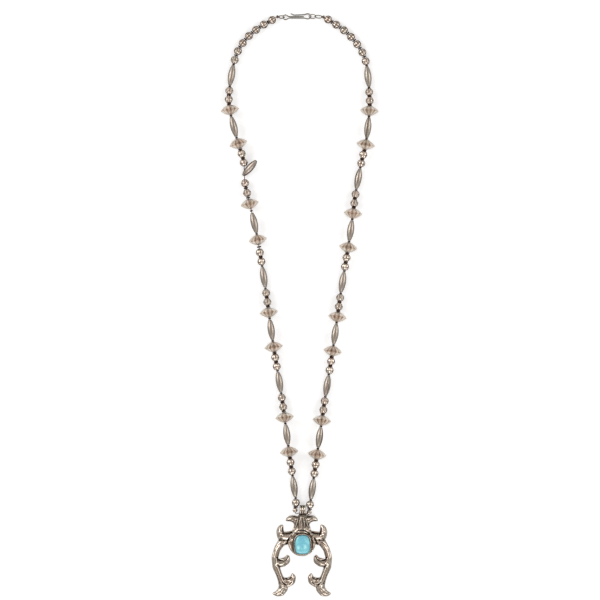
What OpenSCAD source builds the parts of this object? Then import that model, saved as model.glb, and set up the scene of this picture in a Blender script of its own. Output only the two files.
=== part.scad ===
// Silver bead necklace with a sand-cast crescent pendant (a naja) and one turquoise stone, laid
// flat on a surface: +Y runs from the pendant up to the clasp, +Z is up. All sizes are millimetres.

/* [Round beads] */
// Width of a round bead across the string
round_d = 5.8; // [5.4:0.1:5.9]
// Length of a round bead along the string
round_l = 5.1; // [4.9:0.1:5.2]
// Width of the small bead beside the bail
last_d = 3.6; // [3.2:0.1:3.7]
// Length of that small bead
last_l = 3.3; // [3:0.1:3.4]
// Diameter of the hole through every bead
bore_d = 1.2; // [1:0.1:1.4]

/* [Spindle beads] */
// Length of a long spindle bead
spindle_l = 14.6; // [14:0.1:14.8]
// Diameter of a spindle bead at its middle
spindle_d = 5; // [4:0.1:5.2]
// Diameter of a spindle bead at its ends
spindle_end_d = 2; // [1.8:0.1:2.4]

/* [Saucer beads] */
// Diameter of a saucer bead at its rim
saucer_d = 13.4; // [11:0.1:14]
// Length of a saucer bead along the string
saucer_l = 7.2; // [6.6:0.1:7.3]
// Diameter of the two ends of a saucer bead
saucer_end_d = 3; // [2.4:0.1:3.4]
// Thickness of a saucer bead's rim
rim_t = 0.7; // [0.5:0.1:1]

/* [Discs and string] */
// Diameter of a dark disc
disc_d = 3.1; // [2.4:0.1:3.3]
// Thickness of a dark disc
disc_t = 0.9; // [0.8:0.1:1.1]
// Diameter of the short dark tube at each end of a spindle
tube_d = 2; // [1.8:0.1:2.4]
// Length of that tube
tube_l = 1; // [0.8:0.1:1.1]
// Diameter of the string
string_d = 0.6; // [0.4:0.05:0.65]

/* [Pendant] */
// Height of the cast ridge above the surface
ridge_h = 2.7; // [2:0.1:3.2]
// Height of the rim below the ridge
side_h = 1; // [0.6:0.1:1.4]
// Radius of the round plate behind the stone
plate_r = 9.9; // [9.6:0.1:10.6]
// Thickness of the plate
plate_t = 1.6; // [1:0.1:2]
// Width of the stone
stone_w = 11; // [9.6:0.1:11.2]
// Length of the stone along the pendant
stone_l = 13.6; // [12:0.1:13.8]
// Top of the domed stone above the surface
stone_top = 5.4; // [4.8:0.1:6]
// Width of the bezel wall
bezel_t = 0.8; // [0.6:0.1:1]
// Top of the bezel above the surface
bezel_top = 4; // [3:0.1:4.4]
// Outer radius of the bail
bail_r = 3.6; // [3.4:0.1:3.7]
// Radius of the hole through the bail
bail_hole_r = 2.8; // [2.6:0.1:2.9]
// Width of the bail along the string
bail_w = 4.5; // [4.3:0.1:4.6]

/* [Clasp] */
// Diameter of the hook's wire
hook_wire_d = 0.85; // [0.7:0.05:0.9]
// Diameter of the wire of the links and the ring
link_wire_d = 0.65; // [0.5:0.05:0.7]
// Outer diameter of the end tubes
end_tube_d = 2.3; // [2.2:0.1:2.6]
// Length of an end tube
end_tube_l = 1; // [0.8:0.1:1.1]

/* [Hidden] */
$fn = 48;

// Moves the whole necklace so that the origin is under the middle of its box.
frame_shift = [0.156, -0.445, 0.006];

sides = ["left", "right"];
spindle_count = 9;
saucer_count = 8;
function numbered(name, count) = [for (side = sides) for (i = [1:count]) str(name, "_", side, "_", i)];

// Bead kinds: r round, s spindle, d saucer, k the small last bead, _ a stretch of bare string.
repeat_row = "rrdsdrr";
right_row = str("rrrrrrrs", repeat_row, "s", repeat_row, "s", repeat_row, "s", repeat_row, "srk");
left_row = str("rrrrrrrs", repeat_row, "_", repeat_row, "s", repeat_row, "s", repeat_row, "srk");

// Each side's line, from the first bead by the clasp to the last bead by the bail.
left_route = [
    [-20, 205.3], [-31.5, 198.3], [-41.2, 188.6], [-46.8, 176.6], [-50.6, 155.3], [-50.4, 141],
    [-44.5, 117.3], [-40.4, 103.4], [-39.6, 88.9], [-36.3, 73.9], [-30.4, 47.8], [-24.4, 9.7],
    [-18.9, -29.7], [-13, -66.1], [-7.8, -104.8], [-2.8, -141.5], [-3.4, -147.3]
];
right_route = [
    [20.3, 205.6], [31.8, 197.8], [41.1, 188], [47.4, 175.5], [49.8, 153.6], [50, 140.5],
    [47.4, 116.3], [44.1, 102.3], [40, 80.1], [38.2, 66.2], [34.7, 41.7], [28.9, 5.5],
    [23.5, -33], [17.7, -69.6], [12.2, -108.4], [7.35, -143.3], [6.7, -148.9]
];

// How loose the joints are strung, as [first joint, last joint, share]; the others have a share of 1.
left_loose = [[0, 5, 4], [6, 8, 2], [9, 40, 3], [16, 17, 6], [18, 18, 11], [20, 20, 11]];
right_loose = [[0, 5, 6], [6, 12, 2], [13, 40, 3]];

// The stretch of bare string where the swung-out spindle is caught: above, beside and below it.
bare_above = 3.3;
bare_beside = 5.2;
bare_below = 1.2;
caught_z = 1.9;

// How far a bead is lifted, by its distance in beads from the nearest saucer.
lift_by_distance = [[0, 1], [1, 0.6], [2, 0.2], [3, 0]];

function unit(v) = v / norm(v);
function sum(v) = v * [for (x = v) 1];
function last(v) = v[len(v) - 1];
function running(v) = [for (i = 0, s = 0; i <= len(v); s = s + (i < len(v) ? v[i] : 0), i = i + 1) s];
function reversed(v) = [for (i = [len(v) - 1:-1:0]) v[i]];

// A smooth line through a row of points.
function spline(a, b, c, d, t) =
    b + t * (c - a) / 2 + t * t * (a - 2.5 * b + 2 * c - d / 2) + t * t * t * (3 * (b - c) + d - a) / 2;
function smooth(line, steps) = let (n = len(line) - 1) [
    for (i = [0:n - 1]) for (k = [0:i == n - 1 ? steps : steps - 1])
        spline(line[max(i - 1, 0)], line[i], line[i + 1], line[min(i + 2, n)], k / steps)
];

// Lengths along the string.
function bead_length(kind) =
    kind == "r" ? round_l : kind == "k" ? last_l :
    kind == "s" ? spindle_l : kind == "d" ? saucer_l : bare_beside;
function has_disc(a, b) = a != "_" && b != "_";
function between(a, b) =
    b == "_" ? bare_above : a == "_" ? bare_below : a == "s" || b == "s" ? tube_l : disc_t;
function looseness(loose, i) = max([for (row = loose) i >= row[0] && i <= row[1] ? row[2] : 1]);

// Where each bead of a row sits: [kind, centre, direction of its hole].
function saucers_away(row, i) = min([for (j = [0:len(row) - 1]) row[j] == "d" ? abs(i - j) : len(row)]);
function bead_height(row, i) =
    let (
        between_saucers = row[i - 1] == "d" && row[i + 1] == "d",
        lift = lookup(between_saucers ? 0 : saucers_away(row, i), lift_by_distance)
    )
    row[i] == "_" ? caught_z : round_d / 2 + lift * (saucer_d - round_d) / 2;
function strung(row, route, loose, start, onward) =
    let (
        n = len(row) - 1,
        line = smooth(route, 12),
        way = running([for (i = [1:len(line) - 1]) norm(line[i] - line[i - 1])]),
        xs = [for (i = [0:len(line) - 1]) [way[i], line[i].x]],
        ys = [for (i = [0:len(line) - 1]) [way[i], line[i].y]],
        tight = [for (i = [0:n - 1])
            (bead_length(row[i]) + bead_length(row[i + 1])) / 2 + between(row[i], row[i + 1])],
        share = [for (i = [0:n - 1]) has_disc(row[i], row[i + 1]) ? looseness(loose, i) : 0],
        place = running(tight + (last(way) - sum(tight)) / sum(share) * share),
        centres = [for (i = [0:n]) [lookup(place[i], xs), lookup(place[i], ys), bead_height(row, i)]],
        stops = concat([start], centres, [onward])
    )
    [for (i = [0:n]) [row[i], centres[i],
        unit(unit(stops[i + 1] - stops[i]) + unit(stops[i + 2] - stops[i + 1]))]];

// The string's way from below the left side's last bead, through the bail, to below the right side's.
bail_way = [
    [-2.9, -150, 2.95], [-1.9, -149.9, 3.15], [-0.6, -149.3, 3.5], [0.6, -149.1, 3.6], [2, -149.1, 3.6],
    [3.6, -149.1, 3.55], [4.6, -149.4, 3.55], [4.95, -150.5, 3.4], [5.6, -151.2, 3.1]
];
left_end = [-3.2, -150.6, 2.9];
right_end = [6.2, -151.4, 3];

// Where each side's string comes out of its end tube at the clasp.
left_start = [-17, 207.7, 2];
right_start = [17.8, 207.4, 2];

left_beads = strung(left_row, left_route, left_loose, left_start, left_end);
right_beads = strung(right_row, right_route, right_loose, right_start, right_end);
function beads_of(side) = side == "left" ? left_beads : right_beads;
function of_kind(side, kind) = [for (bead = beads_of(side)) if (bead[0] == kind) bead];
function way_in(bead) = bead[1] - bead[2] * bead_length(bead[0]) / 2;
function way_out(bead) = bead[1] + bead[2] * bead_length(bead[0]) / 2;

module along(bead) {
    towards = bead[2];
    translate(bead[1])
        rotate([0, acos(towards.z), atan2(towards.y, towards.x)])
            children();
}

// A skin over rings of points that run anticlockwise about the way from each ring to the next.
module skin(rings, closed = false) {
    n = len(rings);
    per = len(rings[0]);
    walls = [for (i = [0:n - (closed ? 1 : 2)]) for (k = [0:per - 1])
        let (j = (i + 1) % n, m = (k + 1) % per)
        [i * per + k, j * per + k, j * per + m, i * per + m]];
    first_end = [for (k = [0:per - 1]) k];
    last_end = [for (k = [per - 1:-1:0]) (n - 1) * per + k];
    points = [for (ring = rings) each ring];
    polyhedron(points, closed ? walls : concat(walls, [first_end, last_end]), convexity = 10);
}

// A flat-sided tube along a line of points, either open with two ends or closed into a ring.
function heading(points, i, closed) =
    let (
        n = len(points),
        onward = points[(i + 1) % n] - points[i],
        so_far = points[i] - points[(i + n - 1) % n]
    )
    !closed && i == 0 ? unit(onward) :
    !closed && i == n - 1 ? unit(so_far) :
    unit(unit(onward) + unit(so_far));
function ring_of(p, t, d, flats) =
    let (a = unit(cross([0, 0, 1], t)), b = cross(t, a))
    [for (k = [0:flats - 1]) p + d / 2 * (cos(360 * k / flats) * a + sin(360 * k / flats) * b)];
module tube_along(points, d, flats, closed = false) {
    skin([for (i = [0:len(points) - 1]) ring_of(points[i], heading(points, i, closed), d, flats)], closed);
}

// Beads

// A ball with flat ends.
module drilled_ball(d, l) {
    rotate_extrude()
        intersection() {
            circle(d = d);
            translate([bore_d / 2, -l / 2]) square([d, l]);
        }
}

module drilled_disc(d, t) {
    rotate_extrude()
        translate([bore_d / 2, -t / 2]) square([(d - bore_d) / 2, t]);
}

module round_beads(side) {
    color("#b3a695") {
        for (bead = of_kind(side, "r")) along(bead) drilled_ball(round_d, round_l);
        for (bead = of_kind(side, "k")) along(bead) drilled_ball(last_d, last_l);
    }
}

// A disc lines up with a neighbour that has flat ends, or else with both neighbours.
function has_flat_ends(bead) = bead[0] == "s" || bead[0] == "d";
function disc_way(a, b) =
    has_flat_ends(a) == has_flat_ends(b) ? unit(a[2] + b[2]) : has_flat_ends(a) ? a[2] : b[2];

module dark_discs(side) {
    beads = beads_of(side);
    color("#3a2a1c")
        for (i = [0:len(beads) - 2])
            if (has_disc(beads[i][0], beads[i + 1][0])) {
                middle = (way_out(beads[i]) + way_in(beads[i + 1])) / 2;
                by_spindle = beads[i][0] == "s" || beads[i + 1][0] == "s";
                along([0, middle, disc_way(beads[i], beads[i + 1])])
                    drilled_disc(by_spindle ? tube_d : disc_d, by_spindle ? tube_l : disc_t);
            }
}

// The spindle's long side is one arc from end to end.
module spindle_shape() {
    rise = (spindle_d - spindle_end_d) / 2;
    arc_r = (spindle_l * spindle_l / 4 + rise * rise) / (2 * rise);
    rotate_extrude()
        intersection() {
            translate([spindle_d / 2 - arc_r, 0]) circle(r = arc_r, $fn = 240);
            translate([bore_d / 2, -spindle_l / 2]) square([spindle_d, spindle_l]);
        }
}

module saucer_shape() {
    shoulder_r = 0.66 * saucer_d / 2;
    shoulder_z = 0.64 * saucer_l / 2;
    half = [
        [bore_d / 2, saucer_l / 2], [saucer_end_d / 2, saucer_l / 2],
        [shoulder_r, shoulder_z], [saucer_d / 2, rim_t / 2]
    ];
    rotate_extrude()
        polygon(concat(half, [for (p = reversed(half)) [p.x, -p.y]]));
}

// The third spindle of the left side has swung out. It leans up from the surface, and the bare
// string runs through the split in its lower end.
swung_number = 3;
swung_turn = 47.8;
swung_rise = 18;
swung_grip = 1.2;
swung_off = -0.2;
split_t = 0.95;
split_l = 4.3;

module swung_spindle() {
    caught = of_kind("left", "_")[0];
    a = [cos(swung_turn) * cos(swung_rise), sin(swung_turn) * cos(swung_rise), sin(swung_rise)];
    c = unit(cross(a, caught[2]));
    b = cross(c, a);
    tip = caught[1] + caught[2] * swung_off - a * swung_grip;
    difference() {
        along([0, tip + a * spindle_l / 2, a]) spindle_shape();
        multmatrix([for (i = [0:2]) [a[i], b[i], c[i], tip[i]]])
            cube([2 * split_l, 2 * spindle_d, split_t], center = true);
    }
}

module spindle(side, i) {
    swung = side == "left" && i == swung_number;
    place = side == "left" && i > swung_number ? i - 2 : i - 1;
    color("#a89b8b")
        if (swung) swung_spindle();
        else along(of_kind(side, "s")[place]) spindle_shape();
}

module saucer(side, i) {
    color("#c6b9aa") along(of_kind(side, "d")[i - 1]) saucer_shape();
}

// Clasp. Every place is [along the clasp, across it] from the clasp's middle.

clasp_at = [0, 207.5, 2];
hook_tilt = -30;
ring_tilt = 40;
link_tilt = 42;
loop_tilt = -45;

ring_ends = [[6.6, 0.5], [11.5, 0.4]];
right_link_ends = [[10.7, 0.4], [16.2, 0]];
left_link_ends = [[-11.15, -0.2], [-15.3, 0.1]];

// A point of a plane that is turned in plan and tilted about its own line.
function in_plane(centre, turn, tilt, u, v) =
    centre + u * [cos(turn), sin(turn), 0] + v * [-sin(turn) * cos(tilt), cos(turn) * cos(tilt), sin(tilt)];

// The hook is one wire: a double shank, an eye at one end and a hook with a turned-out tip at the other.
hook_run = [
    [3, 0.25], [-2, 0.25], [-7.4, 0.25], [-8.8, 0.75], [-10.3, 1.5], [-11.6, 1], [-12.05, -0.25],
    [-11.6, -1.5], [-10.3, -2], [-8.8, -1.35], [-7.4, -0.8], [-2, -0.8], [3.4, -0.85], [5.2, -1.4],
    [7, -1.1], [7.9, 0.35], [7.1, 1.9], [5.2, 2.4], [3.4, 1.75], [-2, 1.5], [-4.6, 1.5], [-6.4, 2.6]
];

module hook() {
    line = [for (p = smooth(hook_run, 4)) in_plane(clasp_at, 0, hook_tilt, p.x, p.y / cos(hook_tilt))];
    color("#85827a") tube_along(line, hook_wire_d, 6);
}

// A closed link between the middles of its wire at its two ends.
module wire_link(ends, wide, tilt) {
    facets = 20;
    way = ends[1] - ends[0];
    middle = (ends[0] + ends[1]) / 2;
    turn = atan2(way.y, way.x);
    line = [for (k = [0:facets - 1]) let (a = 360 * k / facets)
        in_plane(clasp_at + [middle.x, middle.y, 0], turn, tilt, norm(way) / 2 * cos(a), wide / 2 * sin(a))];
    color("#8b887f") tube_along(line, link_wire_d, 6, closed = true);
}

module catch_ring() {
    wire_link(ring_ends, 3.9, ring_tilt);
}

module oval_link(side) {
    if (side == "left") wire_link(left_link_ends, 2.6, -link_tilt);
    else wire_link(right_link_ends, 2.9, -link_tilt);
}

// Beyond each oval link, an end tube holds the two runs of the string's end loop.
tube_gap = 1;
run_gap = 0.36;
loop_half = 0.85;
loop_reach = 1.8;
function link_ends(side) = side == "left" ? left_link_ends : right_link_ends;
function outward(side) = let (ends = link_ends(side)) unit(ends[1] - ends[0]);
function end_tube_at(side) =
    let (at = link_ends(side)[1] + tube_gap * outward(side))
    clasp_at + [at.x, at.y, 0];
function end_loop(side) =
    let (
        inward = -outward(side),
        run = [
            [-0.3, -run_gap], [end_tube_l / 2, -run_gap], [1, -loop_half], [1.5, -0.6 * loop_half],
            [loop_reach, 0], [1.5, 0.6 * loop_half], [1, loop_half], [end_tube_l / 2, run_gap],
            [-end_tube_l / 2 - 0.1, run_gap / 2]
        ]
    )
    [for (p = run) in_plane(end_tube_at(side), atan2(inward.y, inward.x), loop_tilt, p.x, p.y)];

module end_tube(side) {
    wall = 0.3;
    way = outward(side);
    color("#5b4a3a")
        along([0, end_tube_at(side), [way.x, way.y, 0]])
            rotate_extrude()
                translate([end_tube_d / 2 - wall, -end_tube_l / 2]) square([wall, end_tube_l]);
}

module bead_string() {
    down = [for (bead = left_beads) each [way_in(bead), way_out(bead)]];
    up = [for (bead = reversed(right_beads)) each [way_out(bead), way_in(bead)]];
    line = concat(end_loop("left"), down, bail_way, up, reversed(end_loop("right")));
    color("#4a4038") tube_along(line, string_d, 6);
}

// Pendant. Every place is from the middle of the round plate.

naja_at = [1.4, -170.6];
stone_at = [0.5, -1.5];
bail_at = [0.6, 23.5];

// Stations of the cast limbs: [x, y, half width, share of the ridge's height].
bridge_limb = [[5, 4, 4.6, 0.9], [10.8, 3.2, 4.6, 0.9], [14.6, 0, 2.8, 0.95]];
arm_limb = [
    [14.6, 0, 2.8, 0.95], [17.7, -4.9, 2.4, 1], [19.4, -10.9, 2.4, 1], [18.6, -17.6, 2.6, 1],
    [16.3, -23.4, 2.2, 1], [14.1, -29.2, 2.4, 1], [13.4, -33.4, 3.3, 1], [15.1, -35.8, 3, 0.9],
    [18, -37.1, 1.9, 0.75], [20.5, -36.8, 0.7, 0.5]
];
leaf_limb = [
    [11.5, 3.6, 3.6, 0.9], [14.8, 4.7, 3.1, 1.1], [15.7, 7.6, 2.7, 1.1], [15.3, 10.3, 2, 0.9],
    [14.2, 12.1, 0.9, 0.6]
];
upper_spur = [
    [16.9, -15.1, 2.9, 0.9], [13.7, -14.5, 3.2, 0.9], [11.1, -13.2, 2.7, 0.9], [10.1, -11, 1.6, 0.75],
    [10.5, -9.6, 0.7, 0.5]
];
lower_spur = [
    [14, -28.4, 3.2, 0.9], [10.4, -28.9, 3.5, 0.95], [7.7, -27.7, 3.1, 0.95], [6.2, -25.2, 1.9, 0.8],
    [6.8, -22.7, 0.7, 0.5]
];
petal_limb = [
    [2.9, 15.1, 3.2, 1], [5.4, 16.8, 2.7, 1], [7.9, 17.2, 2.2, 0.95], [10.1, 16.5, 1.3, 0.8],
    [11, 15.8, 0.7, 0.6]
];
stem_limb = [[0, 8.5, 6.6, 1], [0, 12, 5.6, 1], [0.3, 16, 4.4, 1.05], [0.6, 20, 2.3, 1.1]];
inner_rib = [[0.9, 18.4, 0.8, 1.35], [1.7, 14.5, 1, 1.45], [2, 10.9, 0.8, 1.3]];
outer_rib = [[2.6, 17.4, 0.7, 1.2], [3.6, 14, 0.8, 1.25], [4.6, 11, 0.6, 1.15]];
notch_at = [9.35, 11.9];
notch_r = 3.3;

module stud(station) {
    translate([station[0], station[1]]) {
        cylinder(r = station[2], h = min(side_h, 0.6 * station[3] * ridge_h), $fn = 14);
        cylinder(r = 0.3 * station[2], h = station[3] * ridge_h, $fn = 14);
    }
}

module limb(stations) {
    for (i = [0:len(stations) - 2])
        hull() {
            stud(stations[i]);
            stud(stations[i + 1]);
        }
}

// The stone's outline is a rounded oblong, squarer at the bottom than at the top.
top_squareness = 2.7;
bottom_squareness = 3.8;
function bulge(v, squareness) = sign(v) * pow(abs(v), 2 / squareness);
function stone_outline(size = 1) = [for (a = [0:7.5:352.5])
    let (squareness = sin(a) > 0 ? top_squareness : bottom_squareness)
    size / 2 * [stone_w * bulge(cos(a), squareness), stone_l * bulge(sin(a), squareness)]];

module both_halves() {
    children();
    mirror([1, 0, 0]) children();
}

stone_gap = 0.1;

module naja() {
    color("#a5968a")
        translate([naja_at.x, naja_at.y, 0])
            difference() {
                union() {
                    both_halves() {
                        limb(bridge_limb);
                        limb(arm_limb);
                        limb(leaf_limb);
                        limb(upper_spur);
                        limb(lower_spur);
                        limb(petal_limb);
                        limb(inner_rib);
                        limb(outer_rib);
                    }
                    limb(stem_limb);
                    cylinder(r = plate_r, h = plate_t);
                    translate([stone_at.x, stone_at.y, 0])
                        linear_extrude(bezel_top) offset(r = stone_gap + bezel_t) polygon(stone_outline());
                    translate([bail_at.x, bail_at.y, bail_r])
                        rotate([0, 90, 0]) cylinder(r = bail_r, h = bail_w, center = true);
                }
                translate([stone_at.x, stone_at.y, plate_t])
                    linear_extrude(bezel_top) offset(r = stone_gap) polygon(stone_outline());
                translate([bail_at.x, bail_at.y, bail_r])
                    rotate([0, 90, 0]) cylinder(r = bail_hole_r, h = 3 * bail_w, center = true);
                both_halves()
                    translate([notch_at.x, notch_at.y, -1]) cylinder(r = notch_r, h = 2 * ridge_h);
            }
}

module turquoise() {
    dome_start = bezel_top - 0.4;
    dome_in = 0.5;
    dome_end = 75;
    dome = [for (a = [0:15:dome_end])
        [1 - dome_in * (1 - cos(a)), dome_start + (stone_top - dome_start) * sin(a) / sin(dome_end)]];
    levels = concat([[1, plate_t + stone_gap]], dome);
    color("#76d4e8")
        translate([naja_at.x + stone_at.x, naja_at.y + stone_at.y, 0])
            skin([for (level = levels) [for (p = stone_outline(level[0])) [p.x, p.y, level[1]]]]);
}

translate(frame_shift) {
    naja();
    turquoise();
    bead_string();
    hook();
    catch_ring();
    for (side = sides) {
        oval_link(side);
        end_tube(side);
        round_beads(side);
        dark_discs(side);
        for (i = [1:spindle_count])
            spindle(side, i);
        for (i = [1:saucer_count])
            saucer(side, i);
    }
}
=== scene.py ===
# %% [markdown]
# # A silver bead necklace with a cast crescent pendant
# The real necklace is a long string of handmade silver beads. Round fluted beads, long smooth spindles and
# wide fluted saucers are strung with small black discs between them. A sand-cast crescent hangs from the
# string by a ribbed bail and holds one turquoise stone. This lesson dresses a finished solid model of it:
# it reads where every bead lies, builds a detailed bead there, carves the casting and mixes the finishes.
#
# The solid model comes first. It is in metres, with +Y from the pendant up to the clasp and +Z up off the
# table, and every new piece is built in those same coordinates, so that nothing has to be fitted by eye.

# %% Load the solid model
import math
import random

import bmesh
import bpy
import numpy as np
from mathutils import Matrix, Vector, noise


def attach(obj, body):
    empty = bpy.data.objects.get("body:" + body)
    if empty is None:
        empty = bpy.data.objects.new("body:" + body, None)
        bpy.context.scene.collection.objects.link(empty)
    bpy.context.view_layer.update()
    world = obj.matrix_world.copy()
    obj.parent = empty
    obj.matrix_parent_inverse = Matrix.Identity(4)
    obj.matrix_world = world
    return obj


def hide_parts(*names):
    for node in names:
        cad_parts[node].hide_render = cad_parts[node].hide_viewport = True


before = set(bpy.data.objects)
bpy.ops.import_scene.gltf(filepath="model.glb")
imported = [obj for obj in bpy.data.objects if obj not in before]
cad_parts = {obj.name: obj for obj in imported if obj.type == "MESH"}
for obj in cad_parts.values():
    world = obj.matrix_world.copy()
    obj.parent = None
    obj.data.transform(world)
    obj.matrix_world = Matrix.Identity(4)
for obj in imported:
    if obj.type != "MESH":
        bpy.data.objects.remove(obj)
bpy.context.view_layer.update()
mm = 0.001

# %% [markdown]
# ## Camera
# The necklace lies flat and is seen from straight above. A camera close to it would see the outer beads
# partly from the side. So a long lens far away is used, which shows every bead from directly above, as a
# flat-lay does. The width of the view sets the scale.

# %% Camera above the middle of the view
view_width = 432 * mm
view_middle = (0.25 * mm, 3.4 * mm)
camera_height = 3.6
sensor_width = 36
camera_data = bpy.data.cameras.new("camera")
camera_data.sensor_width = sensor_width
camera_data.lens = sensor_width * camera_height / view_width
camera_data.clip_end = 30
camera = bpy.data.objects.new("camera", camera_data)
camera.location = (*view_middle, camera_height)
bpy.context.scene.collection.objects.link(camera)
bpy.context.scene.camera = camera
print("lens, mm:", round(camera_data.lens))

# %% [markdown]
# ## Table and light
# Silver has almost no colour of its own. What it shows is the room, so the room decides the look. Straight
# above, the camera and whoever holds it keep the ceiling dim and a little brown. The room is brighter half
# way down, dark again at the horizon, and the pale table shines back into the lowest edges of the beads. Two
# large soft lights stand left and right, which draws two rows of highlights on each bead, and a third one
# stands beyond the pendant. The table glows a little by itself, as paper on a light box does, so that shadows
# stay faint.

# %% Pale table
def linear(hex_colour):
    """The linear red, green, blue and alpha of an sRGB hex colour."""
    parts = [int(hex_colour[i:i + 2], 16) / 255 for i in (1, 3, 5)]
    return [c / 12.92 if c <= 0.04045 else ((c + 0.055) / 1.055) ** 2.4 for c in parts] + [1]


def add(tree, kind, settings={}, inputs={}):
    """Adds one node. Each input is given a value, or is linked if the value is another node's socket."""
    node = tree.nodes.new(kind)
    for name, value in settings.items():
        setattr(node, name, value)
    for name, value in inputs.items():
        if isinstance(value, bpy.types.NodeSocket):
            tree.links.new(value, node.inputs[name])
        else:
            node.inputs[name].default_value = value
    return node


def new_material(name):
    """An empty material, its node tree and its output node."""
    material = bpy.data.materials.new(name)
    material.use_nodes = True
    material.node_tree.nodes.clear()
    return material, material.node_tree, add(material.node_tree, "ShaderNodeOutputMaterial")


# Matt paper scatters light evenly and mirrors nothing, so its roughness is close to 1.
matt_paper, tree, output = new_material("matt_paper")
paper = add(tree, "ShaderNodeBsdfPrincipled", inputs={
    "Base Color": linear("#d2d4d6"), "Roughness": 0.9,
    "Emission Color": linear("#ffffff"), "Emission Strength": 0.52})
tree.links.new(paper.outputs[0], output.inputs["Surface"])

bm = bmesh.new()
bmesh.ops.create_grid(bm, x_segments=1, y_segments=1, size=4)
table_mesh = bpy.data.meshes.new("table")
bm.to_mesh(table_mesh)
bm.free()
table_mesh.materials.append(matt_paper)
table = bpy.data.objects.new("table", table_mesh)
bpy.context.scene.collection.objects.link(table)
print("table, m across:", round(table.dimensions.x))

# %% Soft studio lights
def softbox(name, place, width, height, power):
    """A large area light that looks at the middle of the table."""
    light = bpy.data.lights.new(name, "AREA")
    light.shape = "RECTANGLE"
    light.size, light.size_y, light.energy = width, height, power
    lamp = bpy.data.objects.new(name, light)
    lamp.location = place
    lamp.rotation_euler = (-Vector(place)).to_track_quat("-Z", "Y").to_euler()
    bpy.context.scene.collection.objects.link(lamp)


softbox("key_light", (-1.4, 0.6, 1.15), 1.1, 1.1, 15)
softbox("side_light", (1.4, 0.3, 1.05), 1.0, 1.0, 9)
softbox("low_light", (0.2, -1.5, 1.1), 1.2, 0.8, 10)
room = bpy.data.worlds.new("grey_room")
room.use_nodes = True
tree = room.node_tree
direction = add(tree, "ShaderNodeTexCoord").outputs["Generated"]
height = add(tree, "ShaderNodeSeparateXYZ", inputs={"Vector": direction}).outputs["Z"]
shades = add(tree, "ShaderNodeValToRGB", inputs={"Fac": height})
stops = shades.color_ramp.elements
# From the horizon, 0, to straight up, 1.
room_shades = ((0.0, "#5c5a57"), (0.25, "#8f8c88"), (0.6, "#dedbd7"), (0.85, "#b8b1aa"), (1.0, "#a1968c"))
for position, shade in room_shades:
    stop = stops[0] if position == 0 else stops[-1] if position == 1 else stops.new(position)
    stop.color = linear(shade)
tree.links.new(shades.outputs["Color"], tree.nodes["Background"].inputs["Color"])
tree.nodes["Background"].inputs["Strength"].default_value = 1.0
bpy.context.scene.world = room
bpy.context.scene.view_settings.view_transform = "Standard"

# %% [markdown]
# ## Silver finishes
# Old silver is bright where hands and cloth rub it, and brown to black where they can't reach. Each piece
# that follows carries a number at every point, from 0 on a worn ridge to 1 in a deep groove, and on most
# pieces painted shade is added to it where the surface faces sideways or down. The finish reads that number
# and turns it into colour and roughness. A metal keeps Blender's default IOR. Two noises break the surface up:
# a wide one, a little larger than a bead, so that no two beads have quite the same tone, and a fine one for
# grain and scratches, which also roughens the surface a little.
#
# Every metal shines brighter where its surface turns away from the eye. On a bead six millimetres wide that
# would wash its outline out against the white table. So each finish also has an edge tint, which sets the
# colour of the metal seen edge on: mostly a dark one, which paints shade along every outline, and on the
# saucers a pale one, which paints a highlight along their sides.

# %% Worn silver with painted shade
def worn_silver_with_painted_shade(name, bright, middle, dark, polish, grain, depth, edge):
    """Silver that is bright on ridges, then middle, and dark in grooves and under painted shade. Polish is the
    roughness of a ridge, grain the size in mm of the marks on it, depth their height in mm, and edge the tint
    of the metal seen edge on: painted shade along each outline where it is dark, a painted highlight where it
    is pale."""
    material, tree, output = new_material(name)
    place = add(tree, "ShaderNodeTexCoord").outputs["Object"]
    patina_and_shade = add(tree, "ShaderNodeAttribute", {"attribute_name": "patina_and_shade"}).outputs["Fac"]
    marks = add(tree, "ShaderNodeTexNoise", inputs={
        "Vector": place, "Scale": 1 / (grain * mm), "Detail": 3, "Roughness": 0.6}).outputs["Fac"]
    uneven = add(tree, "ShaderNodeMath", {"operation": "MULTIPLY_ADD"}, {0: marks, 1: 0.5, 2: patina_and_shade})
    ramp = add(tree, "ShaderNodeValToRGB", inputs={"Fac": uneven.outputs[0]})
    stops = ramp.color_ramp.elements
    stops[0].position, stops[0].color = 0.22, linear(bright)
    stops[1].position, stops[1].color = 1.0, linear(dark)
    stops.new(0.55).color = linear(middle)
    # One bead is about 6 mm long, so this noise changes the tone from bead to bead.
    tone = add(tree, "ShaderNodeTexNoise", inputs={"Vector": place, "Scale": 1 / (9 * mm), "Detail": 1})
    tint = add(tree, "ShaderNodeMix", {"data_type": "RGBA"}, {
        "Factor": tone.outputs["Fac"], "A": linear("#fff2ed"), "B": linear("#f0f4ef")})
    warm = add(tree, "ShaderNodeMix", {"data_type": "RGBA", "blend_type": "MULTIPLY"}, {
        "Factor": 1.0, "A": ramp.outputs["Color"], "B": tint.outputs["Result"]})
    dull = add(tree, "ShaderNodeMapRange", inputs={
        "Value": uneven.outputs[0], "From Min": 0.2, "From Max": 1.0, "To Min": polish, "To Max": 0.7})
    bump = add(tree, "ShaderNodeBump", inputs={"Height": marks, "Distance": depth * mm, "Strength": 1.0})
    # The edge tint is painted shade along each outline, or on the saucers a painted highlight.
    metal = add(tree, "ShaderNodeBsdfPrincipled", inputs={
        "Base Color": warm.outputs["Result"], "Metallic": 1.0, "Roughness": dull.outputs["Result"],
        "Specular Tint": linear(edge), "Normal": bump.outputs["Normal"]})
    tree.links.new(metal.outputs[0], output.inputs["Surface"])
    return material


# Sand-cast silver, filed and rubbed: a slightly lumpy shine with nearly black hollows.
cast_silver = worn_silver_with_painted_shade("sand_cast_silver", "#dad2ca", "#958b81", "#2b211a",
                          polish=0.22, grain=1.4, depth=0.025, edge="#3f362f")
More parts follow.
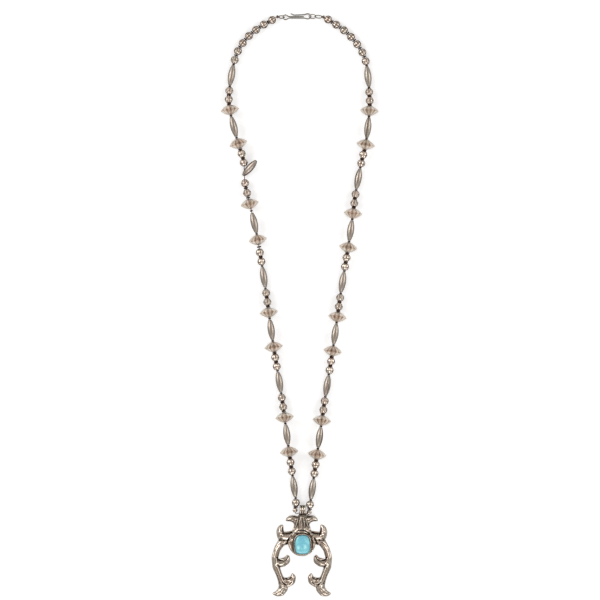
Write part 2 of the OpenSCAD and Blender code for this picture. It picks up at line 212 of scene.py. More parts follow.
# Sheet silver pressed in a die and polished: glints on the crests, brown valleys.
fluted_silver = worn_silver_with_painted_shade("fluted_bead_silver", "#fdf7f1", "#dccfc4", "#3a2a20",
                            polish=0.21, grain=1.2, depth=0.02, edge="#3f362f")
# The same sheet in wide shallow cups, less rubbed and warm brown on top, with a pale edge tint that paints a
# highlight along the sides.
saucer_silver = worn_silver_with_painted_shade("pressed_saucer_silver", "#eeefec", "#d3c0b1", "#664d3d",
                            polish=0.27, grain=1.4, depth=0.02, edge="#b6b4b0")
# Sheet silver rolled up and dulled by wear: long soft bands of grey, no sharp glints.
spindle_silver = worn_silver_with_painted_shade("rolled_spindle_silver", "#b7b0a9", "#8b837b", "#2b231d",
                             polish=0.37, grain=1.0, depth=0.01, edge="#4d453e")
# Silver blackened with sulphur: dark brown with a dull shine.
blackened_silver = worn_silver_with_painted_shade("blackened_silver", "#7d6352", "#523b2f", "#1c130d",
                               polish=0.35, grain=0.6, depth=0.03, edge="#2a211b")
# Drawn wire that has never been polished, and the wire of the clasp, which rubs itself bright.
dull_wire = worn_silver_with_painted_shade("dull_string_wire", "#8a7a6c", "#54473c", "#201812",
                        polish=0.4, grain=0.6, depth=0.02, edge="#3a332d")
clasp_wire = worn_silver_with_painted_shade("plain_grey_wire", "#a8a298", "#5c564d", "#1d1915",
                         polish=0.24, grain=1.0, depth=0.01, edge="#3a352f")
print("silver finishes:", [m.name for m in bpy.data.materials if "silver" in m.name or "wire" in m.name])

# %% [markdown]
# ## Reading where the beads lie
# The solid model already says where every bead is. Each separate solid in a node is found by walking from
# face to face, and the wall of its drilled hole is picked out because it is the only part that faces the
# bead's own middle. The two ends of the hole then give the bead's middle and the direction of the string.

# %% Find each bead's middle, direction and size
def merged(node):
    """A copy of a node's mesh with its loose triangles joined up, and a patina and shade number of 0 at every
    point.
    """
    bm = bmesh.new()
    bm.from_mesh(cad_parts[node].data)
    bmesh.ops.remove_doubles(bm, verts=bm.verts, dist=0.002 * mm)
    bm.verts.layers.float.new("patina_and_shade")
    bm.normal_update()
    return bm


def solids_of(node):
    """Every separate solid of a node, as [(middle, direction, half length, radius)]."""
    bm = merged(node)
    found, seen = [], set()
    for start in bm.faces:
        if start in seen:
            continue
        seen.add(start)
        solid = [start]
        for face in solid:
            for other in [f for edge in face.edges for f in edge.link_faces]:
                if other not in seen:
                    seen.add(other)
                    solid.append(other)
        # A dictionary keeps its keys in order, so the sums come out the same in every run.
        points = dict.fromkeys(v for face in solid for v in face.verts)
        middle = sum((v.co for v in points), Vector()) / len(points)
        inward = [f for f in solid if (f.calc_center_median() - middle).dot(f.normal) < 0]
        wall = dict.fromkeys(v for face in inward for v in face.verts)
        middle = sum((v.co for v in wall), Vector()) / len(wall)
        spread = np.array([v.co - middle for v in wall])
        direction = Vector(np.linalg.eigh(spread.T @ spread)[1][:, 2])
        direction *= -1 if direction.y > 0 else 1
        ways = [(v.co - middle).dot(direction) for v in points]
        radii = [(v.co - middle - way * direction).length for v, way in zip(points, ways)]
        found.append((middle, direction, max(ways), max(radii)))
    bm.free()
    return found


def placed(middle, direction, roll):
    """The matrix that takes a bead from the origin, with its hole along Z, to its place on the string."""
    turn = direction.to_track_quat("Z", "Y").to_matrix().to_4x4()
    return Matrix.Translation(middle) @ turn @ Matrix.Rotation(roll, 4, "Z")


for node in ("round_beads_left", "round_beads_right"):
    print(node, len(solids_of(node)), "beads")

# %% [markdown]
# ## One way to turn a bead
# A bead is round about its hole, so its section is drawn once, as a closed line of a few points, and spun.
# Flutes are then pressed into it, as the silversmith does with a die: every point is moved towards the hole
# by an amount that depends on its angle. Four rows of points to a flute are enough for a soft crest and a
# sharp valley. The same step writes each point's patina.
#
# One more step adds painted shade where a point faces sideways or down, or on the saucers' sides painted
# light. It comes after the beads are put in place, because only there is it known which side faces the table.

# %% Spin a section, press flutes, and place copies
def spun(section, steps):
    """A closed solid of revolution about Z. The section is a closed line of (radius, height) points."""
    bm = bmesh.new()
    bm.verts.layers.float.new("patina_and_shade")
    corners = [bm.verts.new((radius, 0, height)) for radius, height in section]
    line = [bm.edges.new((a, b)) for a, b in zip(corners, corners[1:] + corners[:1])]
    bmesh.ops.spin(bm, geom=corners + line, cent=(0, 0, 0), axis=(0, 0, 1), angle=math.tau, steps=steps,
                   use_merge=True)
    bmesh.ops.remove_doubles(bm, verts=bm.verts, dist=1e-7)
    bmesh.ops.recalc_face_normals(bm, faces=bm.faces)
    # Spin lists its faces in another order each time, so they are sorted by the numbers of their corners.
    bm.verts.index_update()
    count = len(bm.verts)
    bm.faces.sort(key=lambda face: min(v.index for v in face.verts) * count + max(v.index for v in face.verts))
    return bm


def mirrored(half):
    """A whole closed section from its upper half."""
    return half + [(radius, -height) for radius, height in reversed(half)]


def copied(bm, places):
    """Puts one copy of the shape at each place, and takes the first shape away."""
    shape = bm.verts[:] + bm.edges[:] + bm.faces[:]
    first = bm.verts[:]
    for place in places:
        made = bmesh.ops.duplicate(bm, geom=shape)["geom"]
        bmesh.ops.transform(bm, matrix=place, verts=[e for e in made if isinstance(e, bmesh.types.BMVert)])
    bmesh.ops.delete(bm, geom=first, context="VERTS")
    return bm


def painted_facing_light_and_shade(bm, sides, under=0):
    """Adds painted shade where a piece faces sideways, and again where it faces down. Below 0 it paints light.
    """
    bm.normal_update()
    patina_and_shade = bm.verts.layers.float["patina_and_shade"]
    for v in bm.verts:
        aside = min(max((0.75 - v.normal.z) / 0.55, 0), 1)
        down = min(max(-v.normal.z / 0.4, 0), 1)
        v[patina_and_shade] = min(max(v[patina_and_shade] + sides * aside + under * down, 0), 1)
    return bm


# Edges that bend more than this stay sharp.
sharp_corner = math.radians(50)


def finished(name, bm, material, slot, *nodes):
    """Makes a smooth-shaded piece that rides on the necklace and stands for its solids."""
    mesh = bpy.data.meshes.new(name)
    bm.to_mesh(mesh)
    bm.free()
    mesh.materials.append(material)
    mesh.shade_smooth()
    mesh.set_sharp_from_angle(angle=sharp_corner)
    made = bpy.data.objects.new(name, mesh)
    bpy.context.scene.collection.objects.link(made)
    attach(made, "root")
    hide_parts(*nodes)
    return made


def valley(angle, flutes):
    """0 on the crest of a flute and 1 in the valley, which is sharp."""
    return 1 - abs(math.cos(angle * flutes / 2))


# %% [markdown]
# ## Round beads
# Each one is two fluted cups soldered rim to rim, filed flat where it meets a disc. The joint stands out as
# a thin band round the middle, with a dark groove on both sides of it, so that from above a bead shows two
# rows of highlights. There are about fifty of them, so each has fewer than a thousand faces. Two smaller
# ones hang beside the bail.

# %% Round fluted beads
# Radius of every drilled hole, in mm.
bore = 0.6
round_flutes = 9


def round_bead(radius, half_length):
    """A fluted ball with flat ends and a band round its middle, drilled along Z. Sizes are in mm."""
    # Eight rows of points from the flat end to the groove beside the band, in degrees from the hole.
    end_angle, band_angle = math.degrees(math.acos(half_length / radius)), 82
    angles = [end_angle + (band_angle - end_angle) * i / 7 for i in range(8)]
    half = [(bore, half_length)]
    half += [(radius * math.sin(math.radians(a)), radius * math.cos(math.radians(a))) for a in angles]
    half += [(radius * 0.93, radius * 0.1), (radius * 0.995, radius * 0.05)]
    bm = spun([(r * mm, z * mm) for r, z in mirrored(half)], 4 * round_flutes)
    patina_and_shade = bm.verts.layers.float["patina_and_shade"]
    for v in bm.verts:
        out = math.hypot(v.co.x, v.co.y) / (radius * mm)
        up = abs(v.co.z) / (radius * mm)
        groove = valley(math.atan2(v.co.y, v.co.x), round_flutes)
        if out < bore / radius + 0.01:
            v[patina_and_shade] = 0.9
        elif up < 0.07:
            v[patina_and_shade] = 0.25
        else:
            v.co.xy *= 1 - 0.09 * groove
            v[patina_and_shade] = min(1, 0.7 * groove ** 2 + 0.6 * (up < 0.11) + 0.3 * (out < 0.55))
    return bm


def joined(bm, other):
    """Adds a second bmesh to the first, by way of a mesh that is then taken away."""
    passing = bpy.data.meshes.new("passing")
    other.to_mesh(passing)
    other.free()
    bm.from_mesh(passing)
    bpy.data.meshes.remove(passing)
    return bm


rolls = random.Random(7)
small_radius = 2.2 * mm
for side in ("left", "right"):
    node = "round_beads_" + side
    beads = solids_of(node)
    places = [placed(b[0], b[1], rolls.uniform(0, math.tau)) for b in beads if b[3] > small_radius]
    small = [placed(b[0], b[1], rolls.uniform(0, math.tau)) for b in beads if b[3] <= small_radius]
    bm = joined(copied(round_bead(2.9, 2.55), places), copied(round_bead(1.8, 1.65), small))
    # Beads near the clasp are rubbed least, so they turn browner over the last 25 mm towards it.
    patina_and_shade = bm.verts.layers.float["patina_and_shade"]
    for v in bm.verts:
        v[patina_and_shade] = min(v[patina_and_shade] + 0.14 * min(max((v.co.y / mm - 165) / 25, 0), 1), 1)
    # Painted shade darkens each bead where it faces sideways or down.
    made = finished("fluted_beads_" + side, painted_facing_light_and_shade(bm, 0.6), fluted_silver, "bead_silver", node)
    print(made.name, len(places), "+", len(small), "beads,", len(made.data.polygons), "faces")

# %% [markdown]
# ## Saucer beads
# A saucer is two shallow fluted cups soldered at their wide rims. The rim is thin and scalloped, because each
# flute ends there in a small notch. The cups bulge a little, so the section is not a plain double cone. The
# real ones look pale at both sides, browner on top and dark beneath, so a painted highlight lightens the sides
# here and painted shade darkens the underside. All sixteen come from one shape, each rolled a different way on
# the string.

# %% Fluted saucer beads
saucer_flutes = 14


def saucer_bead():
    """A fluted double cup with a scalloped rim, drilled along Z."""
    # From the hole out to the rim: (radius, height) in mm.
    half = [
        (bore, 3.6), (1.5, 3.6), (1.75, 3.45), (2.5, 3.18), (3.4, 2.76), (4.3, 2.22), (5.1, 1.62),
        (5.8, 1.0), (6.3, 0.52), (6.6, 0.26), (6.7, 0.12)
    ]
    bm = spun([(r * mm, z * mm) for r, z in mirrored(half)], 4 * saucer_flutes)
    patina_and_shade = bm.verts.layers.float["patina_and_shade"]
    for v in bm.verts:
        out = math.hypot(v.co.x, v.co.y) / mm
        groove = valley(math.atan2(v.co.y, v.co.x), saucer_flutes)
        slope = min(max((out - 1.6) / 2.5, 0), 1)
        rim = min(max((out - 4.6) / 2, 0), 1)
        v.co.z *= 1 - 0.16 * groove * slope * (1 - rim)
        v.co.xy *= 1 - (0.02 * slope + 0.04 * rim) * groove
        v[patina_and_shade] = min(1, 0.35 + 0.34 * groove * slope + 0.7 * (out < 0.7) + 0.2 * (out < 2.6))
    return bm


for side in ("left", "right"):
    for number in range(1, 9):
        node = f"saucer_{side}_{number}"
        middle, direction, _, radius = solids_of(node)[0]
        bm = copied(saucer_bead(), [placed(middle, direction, rolls.uniform(0, math.tau))])
        # A painted highlight lightens the sides, and painted shade darkens the underside.
        painted_facing_light_and_shade(bm, -0.75, under=1)
        made = finished(f"fluted_saucer_{side}_{number}", bm, saucer_silver, "saucer_silver", node)
print(made.name, len(made.data.polygons), "faces, radius", round(radius / mm, 2))

# %% [markdown]
# ## Spindle beads
# A spindle is rolled from sheet into a long barrel and soldered along one side, so it has a fine seam from
# end to end. It is smooth otherwise, and shows the room in long light and dark bands. The solid's long side
# is one arc, so the section here is read off the same arc, row by row.

# %% Smooth spindles with a seam
# Half the angle that the seam takes up, in radians.
seam = 0.06


def spindle_bead(length, middle_radius, end_radius):
    """A barrel with one lengthwise seam, drilled along Z. Sizes are in mm."""
    rise = middle_radius - end_radius
    arc = (length ** 2 / 4 + rise ** 2) / (2 * rise)
    heights = [length / 2 * (1 - i / 8) for i in range(9)]
    half = [(bore, length / 2)] + [(math.sqrt(arc ** 2 - h ** 2) - arc + middle_radius, h) for h in heights]
    section = half + mirrored(half[:-1])[len(half) - 1:]
    bm = spun([(r * mm, z * mm) for r, z in section], 48)
    patina_and_shade = bm.verts.layers.float["patina_and_shade"]
    for v in bm.verts:
        angle = abs(math.atan2(v.co.y, v.co.x))
        out = math.hypot(v.co.x, v.co.y) / mm
        end = abs(v.co.z) / (length / 2 * mm)
        if out < bore + 0.01:
            v[patina_and_shade] = 0.9
        else:
            v.co.xy *= 1 - 0.06 * (angle < seam)
            v[patina_and_shade] = min(1, 0.8 * (angle < seam) + 0.15 * (angle < 0.2) + 0.1 * max(0, end - 0.85) / 0.15)
    return bm


swung_out = "spindle_left_3"
for side in ("left", "right"):
    for number in range(1, 10):
        node = f"spindle_{side}_{number}"
        if node == swung_out:
            continue
        middle, direction, half_length, radius = solids_of(node)[0]
        bm = spindle_bead(2 * half_length / mm, radius / mm, end_radius=1.0)
        copied(bm, [placed(middle, direction, rolls.uniform(0, math.tau))])
        # Painted shade darkens each spindle where it faces sideways or down.
        painted_facing_light_and_shade(bm, 0.55)
        made = finished(f"rolled_spindle_{side}_{number}", bm, spindle_silver, "spindle_silver", node)
print(made.name, len(made.data.polygons), "faces, length", round(2 * half_length / mm, 2))

# %% [markdown]
# ## Discs and short tubes
# Between the beads sit small blackened discs, and short tubes of the same metal where a spindle begins or
# ends. They keep the silver beads from rubbing each other. They are too small to show more than a soft edge.

# %% Blackened discs
# How far the filing of an edge reaches in.
edge = 0.2 * mm
for side in ("left", "right"):
    node = "dark_discs_" + side
    pieces = bmesh.new()
    for middle, direction, half, radius in solids_of(node):
        section = [(bore * mm, half), (radius - edge, half), (radius - 0.3 * edge, half - 0.3 * edge),
                   (radius, half - edge)]
        disc = copied(spun(mirrored(section), 20), [placed(middle, direction, 0)])
        patina_and_shade = disc.verts.layers.float["patina_and_shade"]
        for v in disc.verts:
            v[patina_and_shade] = 0.3
        joined(pieces, disc)
    made = finished("blackened_discs_" + side, pieces, blackened_silver, "dark_metal", node)
    print(made.name, len(made.data.polygons), "faces")

# %% [markdown]
# ## Wires
# The string, the hook, the catch ring and the links are round wire, and the solids of them have six flat
# sides. A merged copy of each is swollen a little and then subdivided, which rounds a six-sided tube to a
# circle that is a sixth smaller. Swelling it first brings the wire back to its real thickness. Painted shade
# darkens the sides of a wire, so that where two lie side by side, as in the hook, a dark line stays between
# them.
# The two small tubes that close the string's ends are only shaded smooth.

# %% Round the wires
swelling = 0.17


def rounded(name, node, radius, levels, material, slot):
    """A smooth round wire in place of a six-sided one of that radius in mm."""
    bm = merged(node)
    bmesh.ops.join_triangles(bm, faces=bm.faces, angle_face_threshold=0.3, angle_shape_threshold=1.2)
    bm.normal_update()
    for v, way in [(v, v.normal.copy()) for v in bm.verts]:
        v.co += way * swelling * radius * mm
    # Painted shade darkens the sides of the wire.
    made = finished(name, painted_facing_light_and_shade(bm, 1.0), material, slot, node)
    smoother = made.modifiers.new("round", "SUBSURF")
    smoother.levels = smoother.render_levels = levels
    print(name, len(made.data.polygons), "faces before subdivision")


rounded("string_wire", "bead_string", 0.3, 1, dull_wire, "string_wire")
rounded("hook_wire", "hook", 0.425, 2, clasp_wire, "clasp_wire")
rounded("catch_ring_wire", "catch_ring", 0.325, 2, clasp_wire, "clasp_wire")
for side in ("left", "right"):
    rounded("oval_link_wire_" + side, "oval_link_" + side, 0.325, 2, clasp_wire, "clasp_wire")
    tube = "end_tube_" + side
    finished("crimped_tube_" + side, merged(tube), blackened_silver, "dark_metal", tube)

# %% [markdown]
# ## The spindle that has swung out
# One spindle has come off its place: its soldered seam has opened at one end, the bare string runs through
# the gap, and the bead stands out from the necklace. The solid has that gap already, so a merged copy of it
# is kept as it is, shaded smooth with sharp edges left sharp, and given painted shade where it faces sideways
# or down.

# %% Swung spindle
# Painted shade darkens the spindle where it faces sideways or down.
bm = painted_facing_light_and_shade(merged(swung_out), 1.0)
swung = finished("swung_spindle", bm, spindle_silver, "spindle_silver", swung_out)
print(swung.name, len(swung.data.polygons), "faces")

# %% [markdown]
# ## Casting: from facets to poured metal
# The crescent was poured into carved stone, so nothing on it is crisp. The solid has its outline, its ridges
# and its bezel, in flat facets. Remeshing turns the facets into small even squares, about a quarter of a
# millimetre wide, and smoothing melts them together. Only then is it carved.

# %% Remesh and melt the casting
# Width of the even squares, in mm.
square = 0.25


def remeshed(name, bm):
    """An even mesh of small squares over a closed shape."""
    mesh = bpy.data.meshes.new(name)
    bm.to_mesh(mesh)
    bm.free()
    rough = bpy.data.objects.new(name, mesh)
    bpy.context.scene.collection.objects.link(rough)
    change = rough.modifiers.new("squares", "REMESH")
    change.mode = "VOXEL"
    change.voxel_size = square * mm
    bpy.context.view_layer.update()
    even = bpy.data.meshes.new_from_object(rough.evaluated_get(bpy.context.evaluated_depsgraph_get()))
    bpy.data.objects.remove(rough)
    return even


def values(mesh, what):
    """The places or normals of a mesh's points, as rows of three numbers."""
    rows = np.empty(len(mesh.vertices) * 3)
    mesh.vertices.foreach_get(what, rows)
    return rows.reshape(-1, 3)


def move_points(mesh, rows):
    """Moves every point of a mesh to its row's place."""
    mesh.vertices.foreach_set("co", rows.ravel())
    mesh.update()


def write_numbers(mesh, name, numbers):
    """Gives every point of a mesh one number, which a finish reads by that name."""
    mesh.attributes.new(name, "FLOAT", "POINT").data.foreach_set("value", numbers)


def softened(mesh, rows, rounds, share=0.5):
    """The rows after each has moved that share of the way to its neighbours' mean, so many times over."""
    ends = np.empty(len(mesh.edges) * 2, int)
    mesh.edges.foreach_get("vertices", ends)
    a, b = ends.reshape(-1, 2).T
    count = len(rows)
    neighbours = (np.bincount(a, minlength=count) + np.bincount(b, minlength=count))[:, None]
    for _ in range(rounds):
        total = np.stack([np.bincount(a, rows[b, k], count) + np.bincount(b, rows[a, k], count)
                          for k in range(rows.shape[1])], axis=1)
        rows = rows + share * (total / neighbours - rows)
    return rows


casting = remeshed("casting", merged("naja"))
points = softened(casting, values(casting, "co"), 6)
move_points(casting, points)
print("casting:", len(casting.vertices), "points")

# %% [markdown]
# ## Carving
# Lines are carved where the real casting has them: down the arms, across the spurs, between the ribs of the
# plume and round the bezel. Each line is a few points, in mm from the middle of the round plate, and each
# point of the mesh near it is lowered by an amount that falls off softly with distance. A raised line is
# the same thing with a negative depth. Most lines are on both halves, because the mould was symmetrical.

# %% Carved lines
# The middle of the round plate, in mm, and then the lines: depth, width, points.
plate = np.array([1.556, -171.045])
plume_foot = [(-3.4, 8.2), (-1.6, 8.8), (0.2, 8.9), (2.2, 8.4), (3.9, 7.5), (5.6, 6.1)]
stem_end = 19.4
both_halves = [
    # Line down the outer side of each arm: depth 0.35 mm, 0.5 mm wide.
    (0.35, 0.5, [(12.9, 1.2), (16.6, -1.6), (19.4, -6.4), (20.5, -11.3), (19.9, -17.8), (17.6, -23.8),
                 (15.6, -29.6)]),
    # Raised edge on the inner side of each arm.
    (-0.25, 0.6, [(15.6, -3.2), (17.6, -7.5), (18.3, -11), (17.7, -16.5), (15.6, -22.4), (13.5, -28)]),
    # Line along the top of each upper spur.
    (0.7, 0.55, [(10.1, -10.1), (11, -12.2), (13.2, -13.4), (16, -12.8), (17.8, -10.9)]),
    # Smiling line under each lower spur.
    (0.5, 0.5, [(7.4, -28.6), (9.4, -30.6), (11.9, -30.4), (14.1, -28.5)]),
    # Line between each lower spur's tip and its body.
    (0.4, 0.5, [(7.6, -25.2), (9.4, -26.4), (11.6, -26)]),
    # Fan lines on each foot.
    (0.35, 0.4, [(13.4, -32.6), (15.2, -35.2), (18, -36.7)]),
    (0.3, 0.4, [(12.2, -33.6), (13.6, -36.2), (15.6, -38)]),
    # Shoulder: a bar along the bridge, with a line below and above it.
    (0.6, 0.5, [(15.8, 1.6), (12, 1.7), (8.8, 1.3)]),
    (0.6, 0.7, [(12.4, 6.2), (9.6, 6.5), (7.4, 7.2)]),
    (-0.3, 0.8, [(14.8, 3.6), (11.6, 3.7), (8.8, 3.7)]),
    # Shoulder leaf: a raised knob, with a line beside it.
    (-0.6, 1.1, [(15.1, 6.7), (15.3, 7.3)]),
    (0.4, 0.5, [(12.9, 5.2), (13.4, 7.4), (13.6, 10.4)]),
    # Line from the bridge down beside the plate.
    (0.7, 0.6, [(8.9, 3.4), (10.3, 0.8), (11.2, -1.8)]),
    # Hollow along each top petal.
    (0.45, 0.7, [(4.2, 15.6), (7.2, 17.2), (9.8, 15.6)]),
    # Rounded knobs that catch the light: on the arm, on the upper spur, on the lower spur and on the foot.
    (-0.45, 0.8, [(18.1, -16.6), (17.5, -15.4)]),
    (-0.3, 0.8, [(12.3, -15.2), (12.9, -15.3)]),
    (-0.45, 0.8, [(12.1, -27.1), (12, -27.2)]),
    (-0.45, 0.8, [(9, -26.9), (8.9, -27)]),
    (-0.4, 0.7, [(9.5, -30.4), (9.6, -30.5)]),
    (-0.4, 0.8, [(13.3, -31.3), (13.6, -32.2)]),
    # Line between the outer ribs of the plume.
    (0.2, 0.5, [(3.6, 17.5), (5, 13.5), (5.6, 10.4)]),
]
one_half = [
    # The plume's two middle lobes stand up, with a thin line between them.
    (-0.35, 0.7, [(-0.3, 17.8), (-0.6, 14), (-0.9, 9.9)]),
    (-0.35, 0.7, [(1.2, 17.8), (1.7, 14), (2.2, 9.9)]),
    (0.1, 0.35, [(0.5, 17), (0.6, 10)]),
    # The dark V where the bail joins the plume.
    (0.25, 0.6, [(-2.8, 20.6), (-1.8, 17.2), (-2.4, 13.4)]),
    (0.25, 0.6, [(2.8, 20.4), (2.6, 17.2), (3.2, 13.4)]),
    # The undercut at the right side of the bezel's cup, and the deeper one where the plume meets the cup.
    (0.2, 0.4, [(5.6, 6.1), (6.8, 4.3), (7.6, 1.8), (7.7, 0)]),
    (0.6, 0.45, plume_foot),
]
mirror = [(depth, width, [(-x, y) for x, y in line]) for depth, width, line in both_halves]


def distance(places, line):
    """How far each place is from a line of points, in the plane of the table."""
    nearest = np.full(len(places), np.inf)
    for start, end in zip(np.array(line[:-1]), np.array(line[1:])):
        way = end - start
        share = np.clip((places - start) @ way / (way @ way), 0, 1)
        nearest = np.minimum(nearest, np.linalg.norm(places - start - share[:, None] * way, axis=1))
    return nearest


normals = values(casting, "normal")
flat = points[:, :2] / mm - plate
upward = np.clip((normals[:, 2] - 0.1) / 0.3, 0, 1)
# The plume's ribs are broad and soft, so they are melted once more before the cuts.
on_plume = np.clip((flat[:, 1] - 9.3) / 0.6, 0, 1) * (np.abs(flat[:, 0]) < 7) * (flat[:, 1] < stem_end)
points[:, 2] += 0.7 * on_plume * upward * (softened(casting, points, 14)[:, 2] - points[:, 2])
cut = np.zeros(len(points))
carved_lines = both_halves + mirror + one_half
for depth, width, line in carved_lines:
    cut += depth * np.exp(-(distance(flat, line) / width) ** 2)
print("carved lines:", len(carved_lines))

# %% [markdown]
# The plate has a raised rim, and a thin line runs round the foot of the bezel. The bail is a tube across the
# top with grooves between its ribs, so its points are moved towards the tube's own axis instead of down.

# %% Raised rim, bezel line and ribbed bail
stone_middle = (0.5, -1.5)
stone_half_sizes = (5.5, 6.8)


def stone_outline(outside):
    """The closed outline of the stone, in mm, grown by a margin. It is squarer at the bottom."""
    line = []
    for turn in np.linspace(0, math.tau, 73):
        ways = (math.cos(turn), math.sin(turn))
        power = 2 / (2.7 if ways[1] > 0 else 3.8)
        line.append([middle + (half + outside) * math.copysign(abs(way) ** power, way)
                     for middle, half, way in zip(stone_middle, stone_half_sizes, ways)])
    return line


# The plate is the low part of the casting. The bezel and the plume stand higher than 2.4 mm.
low_enough = points[:, 2] / mm < 2.4
from_middle = np.hypot(flat[:, 0], flat[:, 1])
rim_radius = 9.2
cut -= low_enough * 0.6 * np.exp(-((from_middle - rim_radius) / 0.8) ** 2)
bezel_line = low_enough * np.exp(-(distance(flat, stone_outline(1.25)) / 0.4) ** 2)
cut += 0.25 * bezel_line
# The bail is left out, and no cut takes more than three quarters of the metal.
on_stem = flat[:, 1] < stem_end
points[:, 2] -= np.minimum(cut * upward * on_stem, 0.75 * points[:, 2] / mm) * mm

bail_middle, bail_height = np.array([0.6, 23.5]) + plate, 3.6
groove_depth, groove_spacing = 0.32, 1.55
along = points[:, 0] / mm - bail_middle[0]
around = np.stack([points[:, 1] / mm - bail_middle[1], points[:, 2] / mm - bail_height], axis=1)
reach = np.linalg.norm(around, axis=1)
on_bail = (np.abs(along) < 2.6) & (reach < 3.9) & (reach > 3.1)
grooves = groove_depth * (0.5 + 0.5 * np.cos(along / groove_spacing * math.tau + math.pi)) * on_bail
points[:, 1:] -= (around / reach[:, None]) * grooves[:, None] * mm
move_points(casting, points)
print("carved up to, mm:", round(float((cut * upward).max()), 2))

# %% [markdown]
# Sand and stone moulds leave a pitted skin. A little noise moves every point along its own normal: a soft
# swell about two millimetres long, and pits less than a millimetre across. The flat back stays flat.
#
# A point's patina is then how deep it lies below the points round it, measured close by and further off.
# Slopes and low edges get painted shade on top of it. The plume and the ring beside the stone keep less of
# both, and the top of the bezel, which rubs on everything, keeps none.

# %% Cast skin, and the patina and painted shade of every point
normals = values(casting, "normal")
swell = np.array([noise.noise(Vector(p) / (2.2 * mm)) for p in points])
pits = np.array([noise.noise(Vector(p) / (0.7 * mm)) for p in points])
skin = 0.05 * swell + 0.02 * pits
points += normals * (skin * (points[:, 2] > 0.5 * mm) * mm)[:, None]
move_points(casting, points)

normals = values(casting, "normal")
fine = ((softened(casting, points, 4) - points) * normals).sum(axis=1) / mm
broad = ((softened(casting, points, 30) - points) * normals).sum(axis=1) / mm
depth = softened(casting, (6 * fine + 2.2 * broad)[:, None], 1)[:, 0]
# Painted shade on slopes, and on everything lower than about 1.6 mm.
painted_slope_shade = 0.5 * np.clip((0.75 - normals[:, 2]) / 0.55, 0, 1)
painted_slope_shade += 0.35 * np.clip((1.6 - points[:, 2] / mm) / 0.8, 0, 1)
beside_stone = low_enough * (from_middle < 8.8) * np.clip((3 - flat[:, 1]) / 3, 0, 1)
kept_dark = 1 - np.maximum(0.6 * on_plume, 0.7 * beside_stone)
on_bezel = (distance(flat, stone_outline(0.5)) < 0.6) & (points[:, 2] / mm > 2.8)
# Painted shade where the bail joins the plume, and painted shadow lines at the plume's foot and round the
# bezel.
bail_join_shade = 0.1 * np.exp(-((flat[:, 0] + 0.3) / 2.4) ** 2 - ((flat[:, 1] - 19.2) / 1.7) ** 2)
painted_shadow_lines = 0.35 * np.exp(-(distance(flat, plume_foot) / 0.5) ** 2) + 0.15 * bezel_line
cast_patina_and_shade = np.clip(0.2 + (depth + painted_slope_shade) * kept_dark + bail_join_shade + painted_shadow_lines, 0, 1)
cast_patina_and_shade[on_bezel] = 0
write_numbers(casting, "patina_and_shade", cast_patina_and_shade)
print("recess: mean", round(float(cast_patina_and_shade.mean()), 2), "deepest tenth", round(float(np.quantile(cast_patina_and_shade, 0.9)), 2))

# %% Crescent piece
bm = bmesh.new()
bm.from_mesh(casting)
crescent = finished("cast_crescent", bm, cast_silver, "cast_silver", "naja")
print(crescent.name, len(crescent.data.polygons), "faces")

# %% [markdown]
# ## Turquoise
# Turquoise is an opaque stone, cut to a low dome and polished, and its blue is never even: it clouds towards
# green and grey, with a few paler patches. It is a plain glossy solid, not a metal, so it keeps an IOR near
# 1.6 and a low roughness, and a thin clear gloss comes from the polish alone. The solid's dome is remeshed
# and melted in the same way as the casting, which takes its facets away.

# %% Turquoise finish
polished_turquoise, tree, output = new_material("polished_turquoise")
place = add(tree, "ShaderNodeTexCoord").outputs["Object"]
# Clouds are about 5 mm across, and the paler patches in them about 2 mm.
clouds = add(tree, "ShaderNodeTexNoise", inputs={
    "Vector": place, "Scale": 1 / (5 * mm), "Detail": 3, "Roughness": 0.6})
patches = add(tree, "ShaderNodeTexNoise", inputs={"Vector": place, "Scale": 1 / (2 * mm), "Detail": 2})
blue = add(tree, "ShaderNodeValToRGB", inputs={"Fac": clouds.outputs["Fac"]})
stops = blue.color_ramp.elements
stops[0].position, stops[0].color = 0.3, linear("#6fbad3")
stops[1].position, stops[1].color = 0.7, linear("#7dd0da")
pale = add(tree, "ShaderNodeMapRange", inputs={
    "Value": patches.outputs["Fac"], "From Min": 0.5, "From Max": 0.75, "To Min": 0.0, "To Max": 0.5})
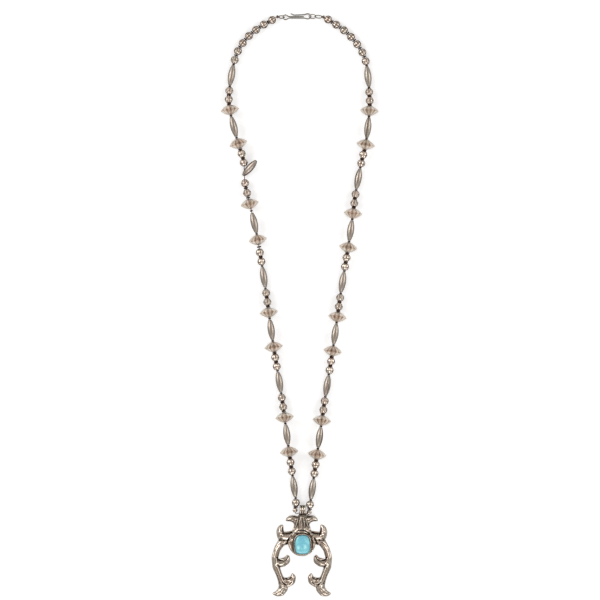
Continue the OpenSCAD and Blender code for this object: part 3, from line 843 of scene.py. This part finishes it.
# A painted highlight, written on the stone's points, adds to the paler patches.
painted_highlight = add(tree, "ShaderNodeAttribute", {"attribute_name": "painted_highlight"}).outputs["Fac"]
paleness = add(tree, "ShaderNodeMath", {"operation": "ADD", "use_clamp": True}, {
    0: pale.outputs["Result"], 1: painted_highlight})
mixed = add(tree, "ShaderNodeMix", {"data_type": "RGBA"}, {
    "Factor": paleness.outputs[0], "A": blue.outputs["Color"], "B": linear("#b4f4fa")})
# Painted shade darkens the colour to the rim, where the stone goes down into the bezel.
patina_and_shade = add(tree, "ShaderNodeAttribute", {"attribute_name": "patina_and_shade"}).outputs["Fac"]
rim_shaded = add(tree, "ShaderNodeMix", {"data_type": "RGBA"}, {
    "Factor": patina_and_shade, "A": mixed.outputs["Result"], "B": linear("#2d6878")})
uneven = add(tree, "ShaderNodeBump", inputs={
    "Height": clouds.outputs["Fac"], "Distance": 0.15 * mm, "Strength": 1.0})
stone = add(tree, "ShaderNodeBsdfPrincipled", inputs={
    "Base Color": rim_shaded.outputs["Result"], "Roughness": 0.22, "IOR": 1.61,
    "Normal": uneven.outputs["Normal"]})
tree.links.new(stone.outputs[0], output.inputs["Surface"])
print("stone finish:", polished_turquoise.name)

# %% Stone
stone_mesh = remeshed("stone", merged("turquoise"))
dome = softened(stone_mesh, values(stone_mesh, "co"), 10)
move_points(stone_mesh, dome)
on_stone = dome[:, :2] / mm - plate
# Painted shade along the rim: full at the outline and gone 0.4 mm in.
write_numbers(stone_mesh, "patina_and_shade", np.clip(1 - distance(on_stone, stone_outline(0)) / 0.4, 0, 1))
# Two painted highlights low down in the stone, where the two side lights would show in it, each about 3 mm
# high.
spots = ((-2.4, -3.6), (2.5, -3.3))
highlight_spots = sum(np.exp(-((on_stone - spot) / (1.1, 1.6)) ** 2 @ (1, 1)) for spot in spots)
write_numbers(stone_mesh, "painted_highlight", 0.9 * highlight_spots)
bm = bmesh.new()
bm.from_mesh(stone_mesh)
cabochon = finished("turquoise_stone", bm, polished_turquoise, "turquoise", "turquoise")
print(cabochon.name, len(cabochon.data.polygons), "faces")
